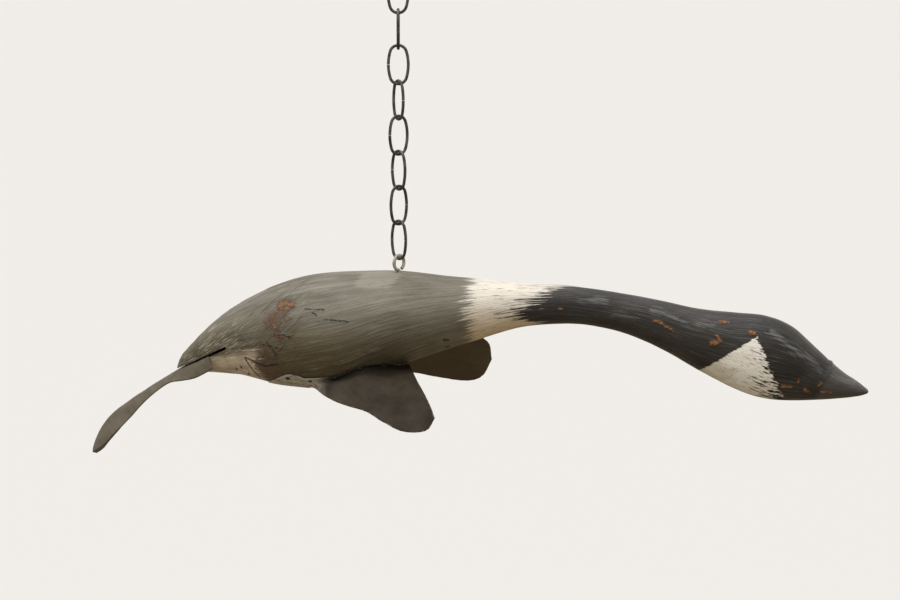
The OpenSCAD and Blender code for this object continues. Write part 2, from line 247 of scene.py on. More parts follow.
CRACKS = [  # thin dark lines and scratches
    [-1, -106, -53, -86, -54, 0.9], [-1, -78, -29, -58, -29, 1.0], [-1, -70, -32, -66, -34, 1.4],
    [-1, -66, -40, -52, -36, 0.8], [-1, -118, -63, -98, -66, 1.0], [-1, -114, -60, -104, -72, 0.9],
    [-1, -137, -77, -118, -84, 1.2], [-1, -118, -84, -104, -82, 1.2], [-1, -137, -78, -127, -99, 1.3],
    [-1, -98, -52, -90, -56, 1.1], [-1, -52, -38, -36, -39, 1.2], [-1, 50, -58, 53, -58, 2.2],
    [-1, 49, -67, 52, -66, 1.6], [-1, -22, -84, -19, -84, 1.4],
    [1, -90, -40, -50, -42, 1.0], [1, 30, -30, 60, -28, 0.8], [1, -150, -60, -120, -70, 1.0]]
PITS = [    # small deep holes
    [-1, -149, -89, -149, -91, 1.7], [-1, -143, -87, -143, -88, 1.6], [-1, -142, -93, -142, -93, 1.5],
    [-1, -138, -94.5, -137, -95, 1.7], [1, -140, -90, -140, -90, 1.5], [1, -30, -70, -30, -71, 1.6]]
SMEARS_AND_HIGHLIGHTS = [  # lighter grey streaks along the neck and head: partly brushed paint, partly painted highlight
    [-1, 176, -20, 200, -20, 4.5], [-1, 242, -28, 266, -34, 4.0], [-1, 270, -38, 300, -40, 3.5],
    [-1, 352, -45, 372, -58, 5.0], [-1, 370, -56, 388, -70, 5.0], [-1, 386, -68, 398, -80, 4.0],
    [-1, 206, -33, 230, -34, 3.0], [1, 190, -22, 215, -24, 4.5], [1, 280, -36, 320, -40, 4.0],
    [1, 356, -48, 392, -74, 5.0], [-1, 408, -84, 428, -92, 3.0]]
BARE = [    # larger worn places with reddish-brown wood
    [-1, -122, -84, -110, -92, 8.0], [-1, -112, -42, -94, -27, 5.5], [-1, -103, -50, -98, -58, 4.0],
    [-1, -118, -62, -108, -74, 3.5], [1, -110, -86, -96, -92, 8.0], [1, -60, -24, -44, -20, 5.0]]


BILL_X, BILL_Z, BILL_LEAN = 407, -74, 0.42   # the bill starts on a leaning line through this x and z


def past_bill_line(p):
    """How far each point is in front of the line where the bill starts."""
    return p[:, 0] - (BILL_X + BILL_LEAN * (p[:, 2] - BILL_Z))


def bill_groove(p):
    """The small groove round the base of the bill."""
    return np.exp(-(past_bill_line(p) / 1.6) ** 2) * ramp(p[:, 2], -96, -84)


GRAIN_RADIUS = 32.0         # turns the angle round the carving into millimetres

# The carver's facets and tool marks: the height, size and seed of each layer
FACETS = ((0.30, (46, 24, 24), 1), (0.15, (15, 9, 9), 2), (0.09, (34, 3.5, 3.5), 3), (0.05, (7, 4, 4), 4))
REAR_FACETS = ((0.16, (9, 5, 5), 5), (0.10, (5, 3, 3), 6))


def relief(points, layers):
    """The heights of several layers of random bumps, added up."""
    return sum(height * random_field(points, size, seed) for height, size, seed in layers)


def carve(mesh, node):
    """Works the smooth skin over with facets, dents and the marks of wear, and stores the fields of the wear
    and of the lighter streaks, which are partly painted highlight.
    """
    p = bird_points(mesh)
    top, bottom, half = smooth_rows(cad_rings(node), p[:, 0]).T
    around = np.arctan2(p[:, 1] / half, (2 * p[:, 2] - top - bottom) / (top - bottom)) * GRAIN_RADIUS
    n = normals(mesh)
    height = relief(p, FACETS)
    height += ramp(p[:, 0], -120, -160) * relief(p, REAR_FACETS)
    height -= 0.2
    chips = marks(p, CHIPS)
    cracks = marks(p, CRACKS)
    pits = marks(p, PITS)
    bare = marks(p, BARE)
    height -= 0.35 * ramp(chips, 0, 0.5) + 0.4 * ramp(cracks, 0, 0.8) + 1.4 * ramp(pits, 0, 0.7)
    height -= 0.35 * ramp(bare, 0, 0.25)
    height -= 1.1 * bill_groove(p)
    bill = ramp(past_bill_line(p), -1.5, 0.5) * ramp(p[:, 2], -98, -80)
    height -= 0.5 * bill
    put_points(mesh, p + n * height[:, None])
    fields = {"around": around, "chips": chips, "cracks": np.maximum(cracks, pits),
              "smears_and_highlights": marks(p, SMEARS_AND_HIGHLIGHTS), "bare": bare}
    for name, values in fields.items():
        add_field(mesh, name, values)
    return mesh


SLOT_FRONT, SLOT_REAR = (-157.0, -70.0), (-219.0, -101.0)   # x and z of the sheet in the saw slot
SLOT_HEIGHT, SLOT_BELOW = 2.6, 0.7          # 0.7 of its 2.6 mm lie under the sheet's line
SAW_LENGTH, SAW_HALF = 100, 80


def saw_slot(piece):
    """Cuts the slot for the tail, with a flat box for a saw."""
    slope = math.atan2(SLOT_FRONT[1] - SLOT_REAR[1], SLOT_FRONT[0] - SLOT_REAR[0])
    along = Vector((math.cos(slope), 0, math.sin(slope)))
    up = Vector((-along.z, 0, along.x))
    front = Vector((SLOT_FRONT[0], 0, SLOT_FRONT[1]))
    bm = bmesh.new()
    corners = [front + along * a + up * h + Vector((0, y, 0))
               for a in (-SAW_LENGTH, 0) for y in (-SAW_HALF, SAW_HALF)
               for h in (-SLOT_BELOW, SLOT_HEIGHT - SLOT_BELOW)]
    v = [bm.verts.new(c * MM + BACK) for c in corners]
    for quad in ((0, 1, 3, 2), (4, 6, 7, 5), (0, 4, 5, 1), (2, 3, 7, 6), (0, 2, 6, 4), (1, 5, 7, 3)):
        bm.faces.new([v[i] for i in quad])
    bmesh.ops.recalc_face_normals(bm, faces=bm.faces)
    mesh = bpy.data.meshes.new("saw")
    bm.to_mesh(mesh)
    bm.free()
    saw = add_object("saw", mesh)
    cut = piece.modifiers.new("slot", "BOOLEAN")
    cut.operation, cut.object, cut.solver = "DIFFERENCE", saw, "EXACT"
    apply_modifiers(piece)
    bpy.data.objects.remove(saw)


def apply_modifiers(piece):
    """Puts the modifiers' result into the piece's mesh."""
    done = bpy.data.meshes.new_from_object(piece.evaluated_get(bpy.context.evaluated_depsgraph_get()))
    piece.modifiers.clear()
    piece.data = done


def smooth_by_angle(mesh, degrees):
    """Shades the mesh smooth, except over edges sharper than so many degrees."""
    mesh.shade_smooth()
    mesh.set_sharp_from_angle(angle=math.radians(degrees))


# ---- materials ----

SEED_SHIFT = (37.3, 11.7, 23.1)     # how far apart the noises of two seeds lie, in x, y and z
GRAIN_SEED_SHIFT = (3.7, 7.3)       # the same for the grain
GRAIN_SIDE_SHIFT = 0.8              # the grain on the left differs from the right's by this shift
GRAIN_ROUGHNESS = 0.6


class Value:
    """A number in a material's node tree; arithmetic on it adds Math nodes."""

    def __init__(self, paint, socket):
        self.paint, self.socket = paint, socket

    def __add__(self, other):
        return self.paint.math("ADD", self, other)

    def __sub__(self, other):
        return self.paint.math("SUBTRACT", self, other)

    def __mul__(self, other):
        return self.paint.math("MULTIPLY", self, other)

    def __rsub__(self, other):
        return self.paint.math("SUBTRACT", other, self)

    __radd__ = __add__
    __rmul__ = __mul__


class Paint:
    """A material with short calls for the nodes that its finish is built from. Sizes are in millimetres."""

    def __init__(self, name):
        self.material = bpy.data.materials.new(name)
        self.material.use_nodes = True
        self.nodes, self.links = self.material.node_tree.nodes, self.material.node_tree.links
        self.nodes.clear()
        self.shader = self.nodes.new("ShaderNodeBsdfPrincipled")
        output = self.nodes.new("ShaderNodeOutputMaterial")
        self.links.new(self.shader.outputs[0], output.inputs[0])
        place = self.nodes.new("ShaderNodeVectorMath")
        place.operation = "MULTIPLY_ADD"
        self.links.new(self.nodes.new("ShaderNodeTexCoord").outputs["Object"], place.inputs[0])
        place.inputs[1].default_value = (1 / MM,) * 3
        place.inputs[2].default_value = -BACK / MM
        self.place = place.outputs[0]
        split = self.nodes.new("ShaderNodeSeparateXYZ")
        self.links.new(self.place, split.inputs[0])
        self.x, self.y, self.z = (Value(self, s) for s in split.outputs)

    def plug(self, socket, value):
        """Gives a node's input a value: another node's output, a colour or a number."""
        if isinstance(value, Value):
            self.links.new(value.socket, socket)
        elif isinstance(value, bpy.types.NodeSocket):
            self.links.new(value, socket)
        elif isinstance(value, tuple) and socket.type == "RGBA":
            socket.default_value = (*value, 1)
        else:
            socket.default_value = value

    def math(self, operation, *values):
        """A Math node's result."""
        node = self.nodes.new("ShaderNodeMath")
        node.operation = operation
        for socket, value in zip(node.inputs, values):
            self.plug(socket, value)
        return Value(self, node.outputs[0])

    def step(self, value, low, high):
        """0 at low, 1 at high, smooth between."""
        node = self.nodes.new("ShaderNodeMapRange")
        node.interpolation_type = "SMOOTHSTEP"
        for socket, v in zip(node.inputs, (value, low, high, 0.0, 1.0)):
            self.plug(socket, v)
        return Value(self, node.outputs[0])

    def texture(self, place, detail, roughness):
        """Fractal noise at a place."""
        node = self.nodes.new("ShaderNodeTexNoise")
        self.links.new(place, node.inputs["Vector"])
        node.inputs["Scale"].default_value = 1
        node.inputs["Detail"].default_value = detail
        node.inputs["Roughness"].default_value = roughness
        return Value(self, node.outputs[0])

    def warp(self, size, tilt=0.0, seed=0.0):
        """The place divided by a size in x, y and z, after a tilt of so many degrees about y."""
        node = self.nodes.new("ShaderNodeMapping")
        node.vector_type = "TEXTURE"
        size = (size,) * 3 if isinstance(size, (int, float)) else size
        self.links.new(self.place, node.inputs["Vector"])
        node.inputs["Location"].default_value = tuple(seed * shift for shift in SEED_SHIFT)
        node.inputs["Rotation"].default_value = (0, math.radians(tilt), 0)
        node.inputs["Scale"].default_value = size
        return node.outputs[0]

    def noise(self, size, detail=3.0, roughness=0.5, tilt=0.0, seed=0.0):
        """Fractal noise from 0 to 1, mostly near 0.5, with features `size` across."""
        return self.texture(self.warp(size, tilt, seed), detail, roughness)

    def grain(self, along, across, detail=1.0, slope=0.0, seed=0.0):
        """Noise in lines along the carving, `along` by `across` in size; slope 1 rises at 45 degrees."""
        place = self.nodes.new("ShaderNodeCombineXYZ")
        around = self.math("ABSOLUTE", self.field("around")) + self.x * slope
        left_side = self.step(self.y, -2.0, 2.0) * GRAIN_SIDE_SHIFT
        self.plug(place.inputs[0], self.x * (1 / along) + GRAIN_SEED_SHIFT[0] * seed)
        self.plug(place.inputs[1], around * (1 / across))
        self.plug(place.inputs[2], left_side + GRAIN_SEED_SHIFT[1] * seed)
        return self.texture(place.outputs[0], detail, GRAIN_ROUGHNESS)

    def field(self, name):
        """A number stored for each vertex by add_field()."""
        node = self.nodes.new("ShaderNodeAttribute")
        node.attribute_name = name
        return Value(self, node.outputs["Fac"])

    def mix(self, share, a, b):
        """Colour a, turning into colour b as share goes from 0 to 1."""
        node = self.nodes.new("ShaderNodeMix")
        node.data_type = "RGBA"
        self.plug(node.inputs[0], share)
        self.plug(node.inputs[6], a)
        self.plug(node.inputs[7], b)
        return node.outputs[2]

    def shade(self, colour, amount):
        """The colour times a number."""
        node = self.nodes.new("ShaderNodeVectorMath")
        node.operation = "SCALE"
        self.links.new(colour, node.inputs[0])
        self.plug(node.inputs["Scale"], amount)
        return node.outputs[0]

    def finish(self, colour, roughness, height, **constants):
        """Joins colour, roughness and a height in millimetres to the shader; constants go on its sockets."""
        self.plug(self.shader.inputs["Base Color"], colour)
        self.plug(self.shader.inputs["Roughness"], roughness)
        bump = self.nodes.new("ShaderNodeBump")
        bump.inputs["Distance"].default_value = MM
        self.plug(bump.inputs["Height"], height)
        self.links.new(bump.outputs[0], self.shader.inputs["Normal"])
        for name, value in constants.items():
            self.shader.inputs[name.replace("_", " ")].default_value = value
        return self.material


def both(a, b):
    """Where two shares from 0 to 1 meet, or a share made weaker by a number."""
    return a * b


def either(a, b):
    """The larger of two shares."""
    return a.paint.math("MAXIMUM", a, b)


GREY, GREY_DARK = (0.208, 0.192, 0.150), (0.155, 0.139, 0.100)
# The first colour here is the lower flank's olive-brown: partly the paint's own tone, partly painted shade.
OLIVE_AND_LOW_SHADE, BREAST_BROWN = (0.116, 0.092, 0.052), (0.180, 0.160, 0.122)
LINE_DARK, LINE_PALE = (0.045, 0.038, 0.028), (0.30, 0.275, 0.215)
PATCH_PALE = (0.34, 0.315, 0.255)
BRUISE_BROWN, SCORE_DARK, SPOT_DARK = (0.115, 0.082, 0.050), (0.045, 0.036, 0.028), (0.045, 0.038, 0.032)
CREAM = (0.40, 0.375, 0.305)
BEIGE, BEIGE_DIRTY = (0.74, 0.64, 0.50), (0.52, 0.43, 0.32)
WHITE, WHITE_LOWER, DIRT = (0.80, 0.735, 0.63), (0.70, 0.575, 0.40), (0.16, 0.12, 0.08)
# The last of these is a painted sheen, the grey of gloss highlights on the black.
BLACK, BLACK_WORN, BLACK_PAINTED_SHEEN = (0.022, 0.0185, 0.0155), (0.036, 0.031, 0.026), (0.13, 0.128, 0.118)
NICK_BROWN, BILL_GREY = (0.20, 0.125, 0.070), (0.115, 0.105, 0.092)
CHALK, CHALK_OLD = (0.93, 0.88, 0.78), (0.72, 0.68, 0.53)
CHALK_STAIN, CHALK_DASH = (0.30, 0.27, 0.19), (0.035, 0.029, 0.024)
# The grey of streaks that are partly brushed paint, partly painted highlight.
SMEAR_AND_HIGHLIGHT_GREY = (0.22, 0.225, 0.22)
OLD_WOOD_DARK, OLD_WOOD, OLD_WOOD_RIM = (0.050, 0.030, 0.020), (0.25, 0.160, 0.105), (0.035, 0.026, 0.020)
CHIP_DARK, CHIP, CHIP_RIM = (0.03, 0.012, 0.008), (0.70, 0.31, 0.11), (0.055, 0.036, 0.025)
CHIP_DUST = (0.17, 0.115, 0.075)
CRACK_BLACK = (0.02, 0.017, 0.014)
BODY_ROUGHNESS, HEAD_ROUGHNESS, BARE_ROUGHNESS = (0.60,) * 3, (0.33,) * 3, (0.8,) * 3


class CarvingPaint(Paint):
    """The carving's material, with the noises that its coats share."""

    def __init__(self):
        super().__init__("carving_paint")
        self.fine = self.noise(2.2, 2, seed=3)
        self.ragged = self.grain(34, 1.5, 3, 0.06, seed=1) - 0.5
        self.streak = self.grain(95, 2.6, 3, 0.07, seed=2)
        self.hairs = self.grain(42, 0.9, 1, 0.09, seed=17)
        self.wide = self.noise((90, 26, 26), 3, 0.5, seed=4)
        self.blotch = self.noise((22, 12, 12), 4, 0.6, seed=5)


def body_coat(m):
    """Grey above, olive-brown and darker below, partly the paint's own tone and partly painted shade,
    browner towards the breast, with long brush lines.
    """
    grey = m.mix(m.step(m.wide, 0.35, 0.65), GREY, GREY_DARK)
    # Darker olive-brown towards the bottom: partly the paint's own tone, partly painted shade on the lower
    # flank.
    low = m.step(m.z + 26.0 * (m.wide - 0.5), -26.0, -78.0)
    grey = m.mix(low, grey, OLIVE_AND_LOW_SHADE)
    front = m.step(m.x + 50.0 * (m.blotch - 0.5), 8.0, 70.0)
    grey = m.mix(both(front, 0.55), grey, BREAST_BROWN)
    grey = m.shade(grey, 1.2 * m.streak + 0.4 * (m.blotch - 0.5) + 0.40)
    dark_lines = both(m.step(m.hairs, 0.56, 0.64), m.step(m.wide + 0.6 * (m.blotch - 0.5), 0.42, 0.62))
    grey = m.mix(both(dark_lines, 0.55), grey, LINE_DARK)
    pale_lines = both(m.step(m.grain(40, 0.9, 1, 0.10, seed=18), 0.60, 0.67), m.step(m.blotch, 0.44, 0.6))
    grey = m.mix(both(pale_lines, 0.45), grey, LINE_PALE)

    # A pale patch of older paint behind the eye, on the right
    patch_side = m.step(m.y, 4.0, -4.0)
    patch_length = both(m.step(m.x + 20.0 * m.ragged, -38.0, -30.0),
                        m.step(m.x - 0.9 * m.z + 24.0 * m.ragged, 10.0, 2.0))
    patch_height = m.step(m.z + 9.0 * (m.blotch - 0.5) + 5.0 * m.ragged, -12.5, -8.5)
    patch = both(patch_length, both(patch_height, patch_side))
    return m.mix(both(patch, 0.5), grey, PATCH_PALE)


def rear_marks(m, grey):
    """A bruised, scored and speckled zone in front of the tail, and beige under it, on the body's coat."""
    bruise = both(m.step(m.x + 40.0 * (m.blotch - 0.5), -66.0, -88.0),
                  m.step(m.x + 30.0 * (m.wide - 0.5), -150.0, -120.0))
    mottle = m.step(m.grain(11, 2.6, 4, 0.40, seed=19), 0.47, 0.62)
    grey = m.mix(both(both(bruise, mottle), 0.6), grey, BRUISE_BROWN)
    scores = m.step(m.grain(18, 1.0, 1.5, 0.6, seed=20), 0.60, 0.65)
    grey = m.mix(both(both(bruise, scores), 0.7), grey, SCORE_DARK)

    speckle_zone = m.step(m.x + 60.0 * (m.blotch - 0.5), -112.0, -150.0)
    speckles = both(m.step(m.grain(10, 0.9, 2, 0.34, seed=6) + 0.6 * (m.blotch - 0.5), 0.56, 0.63),
                    both(speckle_zone, m.step(m.z, -34.0, -56.0)))
    grey = m.mix(both(speckles, 0.8), grey, CREAM)
    spots = both(m.step(m.grain(6, 2.0, 2, 0.3, seed=7), 0.66, 0.72),
                 m.step(m.noise(30, 1, seed=8), 0.5, 0.6))
    grey = m.mix(both(spots, 0.65), grey, SPOT_DARK)

    # Beige below a line that falls towards the tail
    tail_line = m.z + 16.0 * m.ragged + 5.0 * (m.blotch - 0.5) - 0.30 * (m.x + 150.0)
    under = both(m.step(tail_line, -71.0, -79.0),
                 both(m.step(m.x + 26.0 * m.ragged, -118.0, -132.0), m.step(m.x, -206.0, -180.0)))
    beige = m.mix(m.step(m.blotch, 0.4, 0.62), BEIGE, BEIGE_DIRTY)
    return m.mix(under, grey, beige), scores, speckles


def white_coat(m):
    """White, yellower and darker towards the bottom, with dirt."""
    white = m.mix(m.step(m.z + 24.0 * (m.blotch - 0.5), -22.0, -50.0), WHITE, WHITE_LOWER)
    white = m.shade(white, 0.80 + 0.4 * m.streak)
    dirt = m.step(m.grain(12, 1.4, 2, 0.0, seed=9) + 0.35 * (m.blotch - 0.5), 0.59, 0.68)
    return m.mix(both(dirt, 0.7), white, DIRT), dirt


def past_white(m):
    """1 in front of the white band, whose front edge runs back towards the middle of the neck."""
    dip = m.z + 38.0
    above = m.math("MAXIMUM", dip, 0.0)
    below = m.math("MINIMUM", m.math("MAXIMUM", dip * -1.0, 0.0), 7.0)
    edge = 111.0 + above * (0.5 + 0.03 * above) + 4.5 * below
    return m.step(m.x + 120.0 * m.ragged - edge, -2.0, 2.0)


def black_coat(m):
    """Black with paler streaks of painted sheen, nicks down to the wood, and a greyer bill."""
    black = m.mix(m.step(m.wide, 0.4, 0.6), BLACK, BLACK_WORN)
    # Painted sheen: paler grey streaks stand in for the gloss highlights along the neck and head.
    painted_sheen = m.step(m.grain(50, 1.4, 3, 0.0, seed=10) + 0.3 * (m.blotch - 0.5), 0.51, 0.66)
    black = m.mix(both(painted_sheen, 0.40), black, BLACK_PAINTED_SHEEN)
    nicks = m.step(m.grain(9, 1.4, 3, 0.0, seed=11), 0.67, 0.72)
    black = m.mix(both(nicks, 0.5), black, NICK_BROWN)
    bill = m.step(m.x - BILL_LEAN * (m.z - BILL_Z), BILL_X - 2.0, BILL_X + 4.0)
    return m.mix(both(bill, 0.6), black, BILL_GREY)


def cheek_coat(m):
    """The cheek's place, a triangle seen from the side with its base along the throat, and its colour."""
    rear = m.z * -1.0 - 84.0 + 0.665 * (m.x - 286.0) + 7.0 * m.ragged
    front = m.x * -1.0 + 338.0 - 0.46 * (m.z + 46.0) + 12.0 * (m.noise((8, 1.5, 1.5), 2, seed=29) - 0.5)
    cheek = both(m.step(rear, -0.7, 0.7), m.step(front, -0.7, 0.7))
    chalk = m.mix(m.step(m.blotch + 0.006 * (322.0 - m.x), 0.45, 0.75), CHALK, CHALK_OLD)
    dashes = m.step(m.grain(10, 1.4, 2, -0.15, seed=12) + 0.0066 * (m.x - 344.0)
                    - 0.0008 * (m.z + 80.0), 0.56, 0.62)
    stains = m.step(m.noise((5, 1.2, 1.2), 2, 0.6, tilt=20, seed=32), 0.58, 0.66)
    chalk = m.mix(both(stains, 0.5), chalk, CHALK_STAIN)
    return cheek, m.mix(dashes, chalk, CHALK_DASH)


def wear_and_highlights(m, colour):
    """Marks placed in the mesh's fields and broken up by noise, on a colour."""
    # Lighter grey streaks: partly brushed paint, partly painted highlight along the ridges of the neck and
    # head.
    brushed_and_highlight = m.step(m.field("smears_and_highlights") + 6.5 * (m.grain(16, 1.3, 3, 0.0, seed=13) - 0.5), 0.5, 1.3)
    colour = m.mix(both(brushed_and_highlight, 0.6), colour, SMEAR_AND_HIGHLIGHT_GREY)

    worn = m.field("bare") + 4.0 * (m.noise((10, 2.2, 2.2), 4, 0.7, tilt=-35, seed=30) - 0.5)
    bare = m.step(worn, 0.15, 0.45)
    wood = m.mix(m.noise((9, 2, 2), 4, 0.7, tilt=-35, seed=31), OLD_WOOD_DARK, OLD_WOOD)
    colour = m.mix(both(m.step(worn, -0.1, 0.2), 0.5), colour, OLD_WOOD_RIM)
    colour = m.mix(both(bare, 0.8), colour, wood)

    flake = m.field("chips") + 5.5 * (m.noise((6, 1.1, 1.1), 4, 0.75, tilt=-14, seed=14) - 0.5)
    colour = m.mix(both(m.step(flake, -0.05, 0.35), 0.5), colour, CHIP_RIM)
    chips = m.step(flake, 0.42, 0.62)
    fresh = m.mix(m.noise((8, 1.1, 1.1), 4, 0.75, tilt=-14, seed=15), CHIP_DARK, CHIP)
    dusty = m.mix(0.55, fresh, CHIP_DUST)
    colour = m.mix(chips, colour, m.mix(m.step(m.x, 120.0, 180.0), dusty, fresh))
    cracks = m.step(m.field("cracks") + 1.5 * (m.fine - 0.5), 0.15, 0.6)
    return m.mix(both(cracks, 0.85), colour, CRACK_BLACK), bare, chips, cracks


def carving_paint():
    """Grey-brown body, white breast band, black neck and head with a white cheek, all worn."""
    m = CarvingPaint()
    grey, scores, speckles = rear_marks(m, body_coat(m))
    past_grey = m.step(m.x + 48.0 * m.ragged + 12.0 * (m.blotch - 0.5), 66.0, 78.0)
    white, dirt = white_coat(m)
    colour = m.mix(past_grey, grey, white)
    dark = past_white(m)
    colour = m.mix(dark, colour, black_coat(m))
    cheek, chalk = cheek_coat(m)
    colour, bare, chips, cracks = wear_and_highlights(m, m.mix(cheek, colour, chalk))

    roughness = m.shade(m.mix(dark, BODY_ROUGHNESS, HEAD_ROUGHNESS), 0.80 + 0.4 * m.fine)
    roughness = m.mix(either(either(chips, bare), cheek), roughness, BARE_ROUGHNESS)
    dents = m.noise((26, 5, 5), 3, 0.6, tilt=-5, seed=16)
    height = (0.60 * m.streak + 0.42 * m.hairs + 0.28 * dents + 0.05 * m.fine
              + 0.10 * speckles - 0.22 * chips - 0.25 * cracks - 0.10 * both(dirt, past_grey)
              + 0.06 * past_grey - 0.10 * scores)
    return m.finish(colour, roughness, height, Specular_IOR_Level=0.30)


# The third tone of each sheet is painted light: a lighter tone for the far, left side, standing in for light
# thrown up onto it from below.
WING, WING_DULL, WING_FAR_LIT = (0.042, 0.033, 0.0215), (0.029, 0.022, 0.015), (0.090, 0.070, 0.042)
TAIL, TAIL_DULL, TAIL_FAR_LIT = (0.140, 0.120, 0.086), (0.108, 0.092, 0.064), (0.150, 0.130, 0.095)
WING_ROOT, WING_STRIP = (0.090, 0.076, 0.058), (0.50, 0.465, 0.40)
SHEET_RUST, SHEET_WORN = (0.11, 0.062, 0.032), (0.34, 0.32, 0.28)


def sheet_paint(name, tone, dull, lit_far_tone, rust_share, light_share, strip=None):
    """Worn paint on hammered sheet metal, with painted light on the left: a lighter, warmer tone for the far
    side stands in for light thrown up from below; `strip` is the paler tone under the belly, and with it
    comes painted shade along the wing's root.
    """
    m = Paint(name)
    blotch = m.noise((26, 26, 18), 4, 0.6, seed=21)
    streak = m.noise((24, 30, 3), 4, 0.7, tilt=24, seed=22)
    fine = m.noise(1.6, 2, seed=23)
    colour = m.mix(m.step(blotch, 0.35, 0.65), tone, dull)
    # Painted light: the far, left side is lighter, standing in for light thrown up onto it from below.
    colour = m.mix(m.step(m.y, -10.0, 10.0), colour, lit_far_tone)
    if strip:
        colour = m.mix(both(m.step(m.x, -6.0, -50.0), 0.6), colour, WING_ROOT)
        on_strip = m.step(m.x + 16.0 * (blotch - 0.5), -52.0, -76.0)
        colour = m.mix(on_strip, colour, strip)
        stains = both(m.step(m.noise((8, 4, 4), 4, 0.7, seed=25), 0.52, 0.62), on_strip)
        colour = m.mix(both(stains, 0.7), colour, dull)
        # Painted shade: the wing's flange against the body is darkened, for the shade where the wing meets
        # the body.
        flange_shade = both(m.step(m.math("ABSOLUTE", m.y), 66.0, 57.0), 1.0 - on_strip)
        colour = m.shade(colour, 1.0 - 0.3 * flange_shade)
    colour = m.shade(colour, 0.66 + 0.68 * streak)
    rust = m.step(m.noise(9, 5, 0.7, seed=24), 0.60, 0.70)
    colour = m.mix(both(rust, rust_share), colour, SHEET_RUST)
    worn_edge = m.step(m.field("rim") + 1.2 * (m.noise(7, 3, 0.6, seed=26) - 0.5), 0.80, 1.1)
    worn_edge = both(worn_edge, m.step(m.math("ABSOLUTE", m.y), 62.0, 70.0))
    colour = m.mix(both(worn_edge, light_share), colour, SHEET_WORN)
    height = 0.5 * m.noise(13, 2, 0.5, seed=28) + 0.12 * streak + 0.05 * fine - 0.06 * rust
    return m.finish(colour, 0.52 + 0.26 * blotch, height, Specular_IOR_Level=0.10)


STEEL_RUST = (0.16, 0.075, 0.032)


def steel(name, tone, stain, roughness, grain=6.0, rust_share=0.25):
    """Oxidised steel wire with dark stains and a little rust."""
    m = Paint(name)
    blotch = m.noise(grain, 4, 0.6, seed=31)
    fine = m.noise(0.9, 2, seed=32)
    colour = m.mix(m.step(blotch, 0.35, 0.62), tone, stain)
    rust = m.step(m.noise(3.0, 4, 0.7, seed=33), 0.60, 0.70)
    colour = m.mix(both(rust, rust_share), colour, STEEL_RUST)
    height = 0.10 * m.noise(2.4, 3, 0.6, seed=34) + 0.05 * fine
    return m.finish(colour, roughness + 0.22 * blotch, height, Metallic=0.85)


def plain_wood():
    """The dowel's bare wood, with its grain along x."""
    m = Paint("dowel_wood")
    rings = m.noise((90, 3, 3), 4, 0.6, seed=41)
    colour = m.mix(rings, (0.36, 0.22, 0.11), (0.62, 0.44, 0.26))
    return m.finish(colour, 0.55 + 0.2 * rings, 0.3 * rings)


CARVING_PAINT = carving_paint()
WING_PAINT = sheet_paint("wing_paint", WING, WING_DULL, WING_FAR_LIT, 0.30, 0.30, WING_STRIP)
TAIL_PAINT = sheet_paint("tail_paint", TAIL, TAIL_DULL, TAIL_FAR_LIT, 0.20, 0.25)
CHAIN_STEEL = steel("chain_steel", (0.15, 0.147, 0.135), (0.065, 0.062, 0.055), 0.36)
HOOK_STEEL = steel("hook_steel", (0.33, 0.32, 0.29), (0.18, 0.17, 0.15), 0.34)
EYE_STEEL = steel("eye_steel", (0.56, 0.53, 0.46), (0.36, 0.33, 0.27), 0.38)
NAIL_STEEL = steel("nail_steel", (0.12, 0.10, 0.085), (0.06, 0.045, 0.035), 0.55, grain=2.0, rust_share=0.7)
DOWEL_WOOD = plain_wood()

CAD_FINISHES = {"ceiling_hook": HOOK_STEEL, "screw_eye": EYE_STEEL, "tail_nails": NAIL_STEEL,
                "right_wing_tacks": NAIL_STEEL, "left_wing_tacks": NAIL_STEEL, "neck_dowel": DOWEL_WOOD}
CAD_FINISHES.update({f"chain_link_{i}": CHAIN_STEEL for i in range(1, 9)})
for node, made in CAD_FINISHES.items():
    NODES[node].data.materials.clear()
    NODES[node].data.materials.append(made)


# ---- the pieces ----

CARVING_SHARP = 50          # degrees; a larger angle between faces shows as an edge
SHEET_SHARP = 40
SHEET_CELL = 2.2
SHEET_ROUNDS = 3            # of cutting, and then of smoothing
RIM_ANGLE = 1.0             # radians; a sheet's faces meet at more than this at its rim only
RIM_WIDTH = 4.0             # how far from the rim its wear reaches


